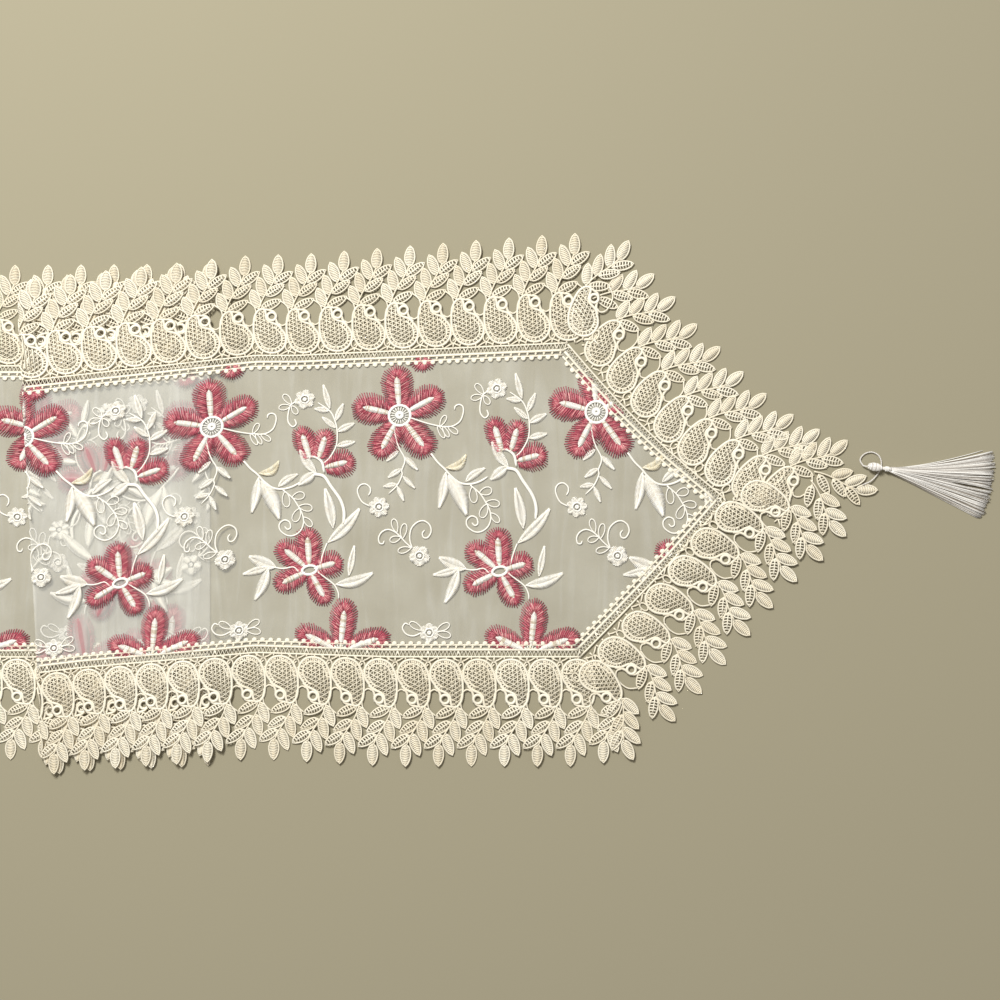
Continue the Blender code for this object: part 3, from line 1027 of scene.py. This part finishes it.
def cup_flower(work, at):
    """Half-open flower on a calyx, with a leafy sprig above and a stem below."""
    cream = work["cream"]
    petals(work, at + mm(-2.4, 4.4), 1.6, (106, 29.5, 17.0))
    petals(work, at + mm(3.6, 4.4), 1.6, (74, 26.5, 18.0))
    petals(work, at + mm(7.6, -2.4), 1.6, (14, 25.5, 22.5))
    stem(cream, at, (-5.4, 6.6), (1.2, 6.6), (6.6, 1.8), (8.2, -6.6), width=1.1)
    leaves(cream, at, (2.6, -7.4, -10.6, 13.4, 7.4, 0.05), (1.6, -6.2, -11.8, -16.8, 8.4, 0))
    stem(
        cream, at, (1.0, -7.6), (8.0, -9.6), (13.2, -17.6), (20.6, -29.0), (23.4, -38.4),
        (22.8, -47.6), width=1.35,
    )
    stem(
        cream, at, (8, 1.6), (12.6, 6.2), (17.4, 15.6), (18.2, 26.4), (16.8, 34.8),
        (12.8, 43.8), (3.4, 51.4),
    )
    leaves(
        cream, at, (17.8, 27, 31.4, 33.8, 6.2, 0), (17.6, 15.2, 32.0, 18.6, 6.0, 0),
        (16.8, 35.8, 22.8, 50.0, 5.2, 0), (12.6, 45.6, 7.6, 66.0, 5.0, 0),
        (17.2, 30, 6.6, 39.4, 5.0, 0), (12.6, 44.6, 0.6, 46.4, 5.2, 0),
    )
    little_flower(cream, at + mm(-6.7, 54.4))
    loops(
        cream, at, (-16.8, 50.4, -22.8, 58.6, 5.6), (-17.6, 49.0, -26.4, 47.4, 5.6),
        (-16.4, 49.2, -12.6, 42.4, 5.2),
    )
    stem(
        cream, at, (-13, 53), (-17.4, 49.6), (-19.4, 42), (-19.2, 35.6), (-16, 31.8),
        (-13.2, 34.2), (-14.4, 38.2),
    )


def lower_flower(work, at):
    """Five-petalled flower with an oval centre and leaves on both sides."""
    cream = work["cream"]
    petals(
        work, at, 4.4, (93, 34.0, 20.5), (140, 32.5, 20.0), (207, 30.5, 19.0),
        (-62, 30.5, 18.5), (16, 27.0, 21.0),
    )
    flower_ring(cream, at, 5.6, 3.4, 0.2, 0)
    leaves(cream, at, (18.2, 32.0, 12.0, 64.0, 8.0, -0.02), (13.4, 21.0, 38.4, 48.0, 8.6, -0.05))
    stem(cream, at, (13.4, 21.0), (10.4, 13), (8.0, 4.0))
    stem(cream, at, (6.4, -1.4), (13, -6.4), (19, -11.2), (22.0, -17), (22.4, -21.8))
    leaves(cream, at, (19.6, -10.8, 48.6, -1.4, 9.0, -0.08), (30.0, -4.4, 34.4, 19.4, 5.2, 0))
    stem(cream, at, (-8.0, -1.4), (-12.2, 2.2), (-17.8, 1.2), (-22.6, 1.0), (-30, 2.6))
    leaves(
        cream, at, (-25, 1.6, -46.4, 10.6, 10.4, 0.05), (-31.2, 1.6, -42.0, -24.4, 8.4, 0.05),
        (-31, 2.4, -51, -2.8, 6.4, 0.05),
    )


def curl_sprig(work, at):
    """Spiral tendril and looped sprig above a small flower."""
    cream = work["cream"]
    stem(
        cream, at, (-5.4, 5.6), (-7.4, 12.6), (-6.4, 20.6), (-1.9, 25.6), (3.2, 26.8),
        (7.6, 23.8), (8.9, 18.8), (6.4, 14.2), (3.2, 14.0), (2.2, 17.2), (4.0, 19.8),
    )
    stem(
        cream, at, (-5.4, 5.6), (-11, 10.6), (-14.6, 14.6), (-19, 18.4), (-24.2, 20.2),
        (-28.8, 18.2), (-31.2, 14.2), (-30.6, 9.8), (-28, 9.4), (-27, 11.6),
    )
    loops(
        cream, at, (-17.4, 17.6, -20, 28.2, 5.6), (-13.2, 13.2, -11.2, 24.6, 5.6),
        (-14.4, 14.2, -22.6, 11.6, 5.6), (-6.6, 6, -16.4, 3.4, 5.6),
    )
    little_flower(cream, at, lobes=5, turn=0.9)
    little_flower(cream, at + mm(-31.0, 37.4), lobes=7, turn=0.1)
    stem(
        cream, at, (-38, 38.0), (-44.2, 41.6), (-47.4, 49.4), (-45.8, 54.4), (-41.6, 55.8),
        (-38.0, 53), (-37.6, 49.4), (-39.2, 46.4),
    )


def edge_flowers(work, at):
    """Flower that the lower lace covers in part, and the small flower beside it."""
    cream = work["cream"]
    petals(
        work, at, 6.0, (84, 42.0, 20.5), (155, 38.0, 20.0), (20, 41.0, 20.0),
        (232, 36.0, 20.0), (-50, 36.0, 20.0),
    )
    flower_ring(cream, at, 6.8, 6.8, 0.0, 16)
    small = at + mm(-77.2, 15.4)
    little_flower(cream, small, 7.4, turn=0.5)
    loops(cream, small, (5.6, 1.4, 15.4, 6.8, 6.0), (5.6, 0, 16.4, -2.4, 6.0), (-5.4, 2, -14.8, 7.8, 5.6))
    stem(cream, small, (-6, 0), (-12, -2.4), (-17.6, -1.0), (-20.4, 3.6), (-18.4, 7.2), (-15.4, 6))


def ground_edge(s, side):
    """Distance from the centre line to the ground's edge on one side."""
    s = np.asarray(s, float)
    upper = np.where(s * side > 0.0, 1, 0)
    corner = np.array(CORNERS)[upper]
    past = np.clip(np.abs(s) - corner, 0.0, APEX_S - corner)
    share = past / (APEX_S - corner)
    bow = 1.35 * np.array(BOWS)[upper]
    return CORNER_T * (1.0 - share) - bow * np.sin(math.pi * share) - 0.8 * MM


PATTERN_AT = (0.3862, 0.0680)      # large flower of the repeat that is numbered 0
LEFT_SLIDE = 27.5 * MM             # how far the pattern is moved on the left-hand stretch
BIG_DRIFT = {1: (5.0, -0.8), -1: (2.2, -3.4), -2: (6.5, 6.0)}      # mm out of line
CUP_DRIFT = {0: (-2.0, -1.0), -1: (-3.5, -4.5), -2: (0.0, -1.0)}
CURL_DRIFT = {1: (6.0, 0.0), -1: (-3.0, -1.5)}
IN_LINE = (0.0, 0.0)


def embroidery():
    """Embroidery of the whole runner, trimmed to the ground and split in parts."""
    work = {colour: Threads() for colour in COLOURS}
    for number in range(-8, 4):
        at = np.array(PATTERN_AT) + (number * REPEAT, 0.0)
        at[0] += LEFT_SLIDE * straight(number, -4, 1.0, -2, 0.0)
        big = at + mm(*BIG_DRIFT.get(number, IN_LINE))
        big_flower(work, big)
        long_vine(work, big)
        cup_flower(work, at + mm(83.0, -34.5) + mm(*CUP_DRIFT.get(number, IN_LINE)))
        lower_flower(work, at + mm(76.4, -122.5))
        curl_sprig(work, at + mm(15.2, -110.8) + mm(*CURL_DRIFT.get(number, IN_LINE)))
        edge_flowers(work, at + mm(99.8, -185.0))
        petal(work, at + mm(17.0, 64.0), -88.0, 4.0 * MM, 30.0 * MM, 20.0 * MM, bar=False)
    made = {}
    for colour in COLOURS:
        data = work[colour].done()
        s, t = data["points"][:, :2].T
        outside = (t > ground_edge(s, 1.0) - 0.5 * MM) | (-t > ground_edge(s, -1.0) - 0.5 * MM)
        trimmed = body_mean(data, outside.astype(float)) == 0.0
        centre = body_mean(data, s)
        for part, low, high in zip(PARTS, CUTS, CUTS[1:]):
            made[colour, part] = pick(data, trimmed & (centre >= low) & (centre < high))
    return made


def ground_span(part):
    """Where one part of the ground starts and ends along the cloth."""
    number = PARTS.index(part)
    reach = APEX_S - 2.0 * MM
    return max(CUTS[number], -reach), min(CUTS[number + 1], reach)


def ground_sheet(part):
    """Sheer ground of one part, finely divided where it turns through a fold edge."""
    first, last = ground_span(part)
    s = np.linspace(first, last, int((last - first) / (2.6 * MM)))
    for edge in (S_LOW, S_TOP):
        if first < edge < last:
            turn = np.arange(edge - 2.0 * MM, edge + 2.0 * MM, 0.25 * MM)
            s = np.sort(np.concatenate((s[np.abs(s - edge) > 2.1 * MM], turn)))
    across = np.linspace(-1.0, 1.0, 49)
    above = np.maximum(ground_edge(s, 1.0), 0.4 * MM)[:, None]
    below = np.maximum(ground_edge(s, -1.0), 0.4 * MM)[:, None]
    t = np.where(across > 0.0, above, below) * across
    points = np.column_stack((np.repeat(s, len(across)), t.ravel(), np.full(t.size, 0.14 * MM)))
    faces = grid_faces(len(s), len(across), round_columns=False)[:, (0, 3, 2, 1)]
    data = {"points": lay(points), "faces": faces, "tints": np.zeros(t.size)}
    return make_object("organza_ground_" + part, data, organza_finish)


# ---------------------------------------------------------------- tassels

LOOP_ROUTE = (            # X, Y from the end's centre line, and height
    (0.6015, 0.0115, 0.0022),
    (0.6080, 0.0145, 0.0020),
    (0.6130, 0.0195, 0.0012),
    (0.6158, 0.0250, 0.0009),
    (0.6160, 0.0300, 0.0009),
    (0.6135, 0.0345, 0.0009),
    (0.6085, 0.0366, 0.0009),
    (0.6030, 0.0350, 0.0009),
    (0.6000, 0.0308, 0.0009),
    (0.6017, 0.0268, 0.0016),
    (0.6036, 0.0258, 0.0027),
    (0.6060, 0.0257, 0.0039),
)
LOOP_TWIST = 2.6 * MM     # along the loop for one turn of its two plies
TASSEL_TURN = math.radians(-9.0)
KNOT_HALF = 5.3 * MM
KNOT_HEIGHT = 4.1 * MM    # of the knot's middle over the floor
NECK_HEIGHT = 3.0 * MM
LOCKS = 46                # bundles of silk in the skirt, and threads in each
STRANDS = 6
SKIRT_FOOT = 11.0         # millimetres from the knot's middle to the skirt's foot and tip
SKIRT_TIP = 91.0
FAN = 24.6 * MM           # half width of the skirt at its tip


def tassel_piece(name, threads, end, body, replaced):
    """Silk piece of a tassel on its body; the left tassel is a mirror image."""
    data = threads.done()
    if end < 0:
        data["points"][:, 0] *= -1.0
        data["faces"] = data["faces"][:, ::-1]
    made = make_object(name, data, silk_finish)
    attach(made, body)
    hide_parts(replaced)


def tassel_loop(end, axis_y, prefix):
    """Two-ply cord from the last leaf of the lace round to the knot."""
    route = smooth(LOOP_ROUTE, 9)
    route[:, 1] += axis_y
    side, rise = cross_arrows(route)
    steps = np.linalg.norm(np.diff(route, axis=0), axis=1)
    length = np.concatenate(((0.0,), np.cumsum(steps)))
    threads = Threads()
    for ply in (0.0, math.pi):
        angle = (length / LOOP_TWIST * 2.0 * math.pi + ply)[:, None]
        path = route + 0.30 * MM * (side * np.cos(angle) + rise * np.sin(angle))
        threads.cord(path, 0.36 * MM, tint=0.45)
    name = prefix + "_tassel_loop"
    tassel_piece(name + "_cord", threads, end, prefix + "_loop", name)


def tassel_frame(prefix, end):
    """Function from along, across and height to world places, before mirroring."""
    low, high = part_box(prefix + "_tassel_knot")
    centre_x = end * 0.5 * (low.x + high.x)
    centre_y = 0.5 * (low.y + high.y)
    c, s = math.cos(TASSEL_TURN), math.sin(TASSEL_TURN)

    def place(along, across, height):
        """World places of points along the tassel."""
        x = centre_x + along * c - across * s
        y = centre_y + along * s + across * c
        return np.column_stack((x, y, np.broadcast_to(height, np.shape(x))))

    return place


def tassel_knot(end, place, prefix):
    """Knot wound with thread round a solid core."""
    threads = Threads()
    turn = np.linspace(0.0, 2.0 * math.pi, 17)
    for k, along in enumerate(np.linspace(-4.4, 4.4, 10) * MM):
        size = math.sqrt(max(0.05, 1.0 - (along / KNOT_HALF) ** 2))
        across = 2.9 * MM * size * np.cos(turn)
        height = KNOT_HEIGHT + 1.75 * MM * size * np.sin(turn)
        path = place(along + 0.5 * MM * np.sin(turn), across, height)
        # Painted shade: the windings alternate lighter and darker, standing in for the shaded grooves
        # between them.
        threads.cord(path, 0.52 * MM, tint=0.62 + 0.3 * math.sin(2.3 * k))
    core = place(np.linspace(-4.6, 4.6, 9) * MM, np.zeros(9), KNOT_HEIGHT)
    sizes = mm(0.54, 1.26, 1.71, 1.89, 1.98, 1.89, 1.71, 1.26, 0.54)
    threads.cord(core, sizes, 8, 0.6)
    name = prefix + "_tassel_wound_knot"
    tassel_piece(name, threads, end, prefix + "_tassel", prefix + "_tassel_knot")


def tassel_neck(end, place, prefix):
    """Twisted threads behind the knot, bound with three turns of silk."""
    threads = Threads()
    share = np.linspace(0.0, 1.0, 9)
    along = (4.6 + 8.0 * share) * MM
    spread = (0.8 + 0.7 * share ** 2) * MM
    for k in range(9):
        angle = 2.0 * math.pi * k / 9 + 2.4 * share
        path = place(along, spread * np.cos(angle), NECK_HEIGHT + spread * np.sin(angle) * 0.9)
        threads.cord(path, 0.42 * MM, tint=0.5 + 0.3 * (k % 3) / 2.0)
    turn = np.linspace(0.0, 2.0 * math.pi, 13)
    for at in (8.6, 9.5, 10.4):
        height = NECK_HEIGHT + 1.6 * MM * np.sin(turn)
        path = place((at + 0.3 * np.sin(turn)) * MM, 1.75 * MM * np.cos(turn), height)
        threads.cord(path, 0.42 * MM, tint=0.85)
    name = prefix + "_tassel_bound_neck"
    tassel_piece(name, threads, end, prefix + "_tassel", prefix + "_tassel_neck")


def tassel_skirt(end, place, prefix):
    """Fan of loose silk threads that lie in locks on each other."""
    threads = Threads()
    draw = np.random.default_rng(11)
    share = np.linspace(0.0, 1.0, 12)
    for lock in range(LOCKS):
        lock_spread = -1.0 + 2.0 * (lock + draw.uniform(0.25, 0.75)) / LOCKS
        lock_phase = draw.uniform(0.0, 6.3)
        lock_shade = draw.uniform(-0.14, 0.10)
        lock_level = draw.random()
        lock_reach = draw.uniform(-2.5, 0.8)
        for _ in range(STRANDS):
            spread = lock_spread + draw.normal(0.0, 0.022)
            stray = draw.random() < 0.07
            reach = SKIRT_TIP - 4.0 * abs(spread) ** 3 + lock_reach + draw.uniform(-1.4, 0.8)
            if stray:
                reach -= draw.uniform(1.0, 7.0)
            along = (SKIRT_FOOT + (reach - SKIRT_FOOT) * share) * MM
            fan = FAN * spread * (1.03 if stray else 1.0)
            wave = 0.9 * MM * np.sin(4.0 * share + lock_phase)
            wave = wave + draw.uniform(0.1, 0.5) * MM * np.sin(share * draw.uniform(5.0, 11.0))
            bend = 1.35 if spread > 0.0 else 1.0
            across = 1.5 * MM * spread + fan * share ** bend + wave * share * (1.0 - abs(spread))
            pile = (1.0 - 0.55 * min(abs(spread), 1.0)) * (4.4 - 2.2 * share) * MM
            level = np.clip(lock_level + draw.uniform(-0.35, 0.35), 0.0, 1.0)
            height = 0.5 * MM + pile * level * np.sqrt(1.0 - 0.35 * share)
            root = NECK_HEIGHT + 1.2 * (level - 0.5) * MM
            height[:2] = np.interp(share[:2], (0.0, 0.12), (root, height[1]))
            # Painted shade: the darkest strands stand in for the shaded gaps between the silk threads.
            shade = draw.choice((0.0, 0.40, 0.72, 1.0), p=(0.24, 0.22, 0.30, 0.24))
            if stray:
                shade = 0.9
            size = (0.34 - 0.08 * share) * MM
            threads.cord(place(along, across, height), size, 4, shade + lock_shade)
    name = prefix + "_tassel_threads"
    tassel_piece(name, threads, end, prefix + "_tassel", prefix + "_tassel_skirt")


def tassel(end, axis_y, prefix):
    """All pieces of one tassel."""
    tassel_loop(end, axis_y, prefix)
    place = tassel_frame(prefix, end)
    tassel_knot(end, place, prefix)
    tassel_neck(end, place, prefix)
    tassel_skirt(end, place, prefix)


# ---------------------------------------------------------------- assembly

HALF_THREADS = 0.76 * MM  # no thread is farther than this from the middle of its layer


def hang(obj, part):
    """Fix a piece in place on the low or fold part, or put it on its part's body so that it follows that
    part.
    """
    start = REST_Z + HALF_THREADS
    stop = REST_Z + LAYER - HALF_THREADS
    if part == "low":
        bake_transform(obj)
    elif part == "fold":
        start, stop = start + LAYER, stop + LAYER
        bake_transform(obj)
    else:
        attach(obj, part + "_cloth")


def build_ground():
    """Sheer ground in its four parts."""
    for part in PARTS:
        sheet = ground_sheet(part)
        if part != "low":
            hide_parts("organza_" + part)
        hang(sheet, part)


def build_embroidery():
    """The three colours of embroidery in their four parts."""
    finishes = {"red": red_finish, "cream": cream_finish, "gold": gold_finish}
    for (colour, part), data in embroidery().items():
        piece = on_cloth("embroidery_" + colour + "_" + part, data, finishes[colour])
        hang(piece, part)


def build_lace():
    """Lace along both sides and around both pointed ends."""
    whole = [lace_unit(True) for _ in range(3)]
    loose = lace_unit(False)
    for side, word in ((1, "upper"), (-1, "lower")):
        for part, data in side_run(side, whole, loose).items():
            piece = on_cloth("lace_" + word + "_" + part + "_run", data, lace_finish)
            if part != "low":
                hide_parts("lace_" + word + "_" + part)
            hang(piece, part)
        for end, part in ((1, "right"), (-1, "left")):
            data = end_run(end, side, whole, loose)
            piece = on_cloth("lace_" + part + "_" + word + "_end", data, lace_finish)
            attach(piece, part + "_cloth")
            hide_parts("lace_" + part + "_" + word + "_point")


def stage():
    """Plain pale floor."""
    bpy.ops.mesh.primitive_plane_add(size=80.0, location=(0.0, 0.0, -0.05 * MM))
    floor = bpy.context.object
    floor.name = "floor"
    made, _ = new_material("floor", {
        "Base Color": (0.345, 0.312, 0.220, 1.0),
        "Roughness": 0.95,
        "Specular IOR Level": 0.1,
    })
    floor.data.materials.append(made)


def lamp(name, kind, place, aim, power, colour, **settings):
    """Light that shines from a place toward another."""
    data = bpy.data.lights.new(name, kind)
    data.energy = power
    data.color = colour
    for setting, value in settings.items():
        setattr(data, setting, value)
    light = bpy.data.objects.new(name, data)
    light.location = place
    light.rotation_euler = (Vector(aim) - Vector(place)).to_track_quat("-Z", "Y").to_euler()
    bpy.context.scene.collection.objects.link(light)


VIEW_WIDTH = 0.765        # what the picture covers on the floor
CAMERA_HEIGHT = 1.6
CAMERA_BACK = 0.3797      # from the tassel's tip to the middle of the picture
SENSOR = 36.0


def camera():
    """Camera straight above the right-hand half, as in the photograph."""
    data = bpy.data.cameras.new("camera")
    data.sensor_width = SENSOR
    data.lens = SENSOR * CAMERA_HEIGHT / VIEW_WIDTH
    data.clip_end = 200.0
    made = bpy.data.objects.new("camera", data)
    made.location = (cad_high.x - CAMERA_BACK, RIGHT_Y, CAMERA_HEIGHT)
    bpy.context.scene.collection.objects.link(made)
    bpy.context.scene.camera = made


def studio():
    """Soft surroundings, a wide sun and a key light from the upper left."""
    world = bpy.data.worlds.new("surroundings")
    bpy.context.scene.world = world
    world.use_nodes = True
    backdrop = world.node_tree.nodes["Background"]
    backdrop.inputs["Color"].default_value = (1.0, 0.965, 0.90, 1.0)
    backdrop.inputs["Strength"].default_value = 0.32
    lamp(
        "sky", "SUN", (0.0, 0.0, 0.0), (0.45, -0.85, -1.25), 1.08, (1.0, 0.975, 0.93),
        angle=math.radians(16.0),
    )
    lamp(
        "key", "AREA", (-0.35, 1.25, 1.55), (0.3, 0.0, 0.0), 40.0, (0.99, 1.0, 0.99),
        shape="RECTANGLE", size=0.5, size_y=0.5,
    )
    bpy.context.scene.view_settings.view_transform = "Standard"


studio()
camera()
stage()
tassel(1, RIGHT_Y, "right")
tassel(-1, LEFT_Y, "left")
build_ground()
build_embroidery()
build_lace()
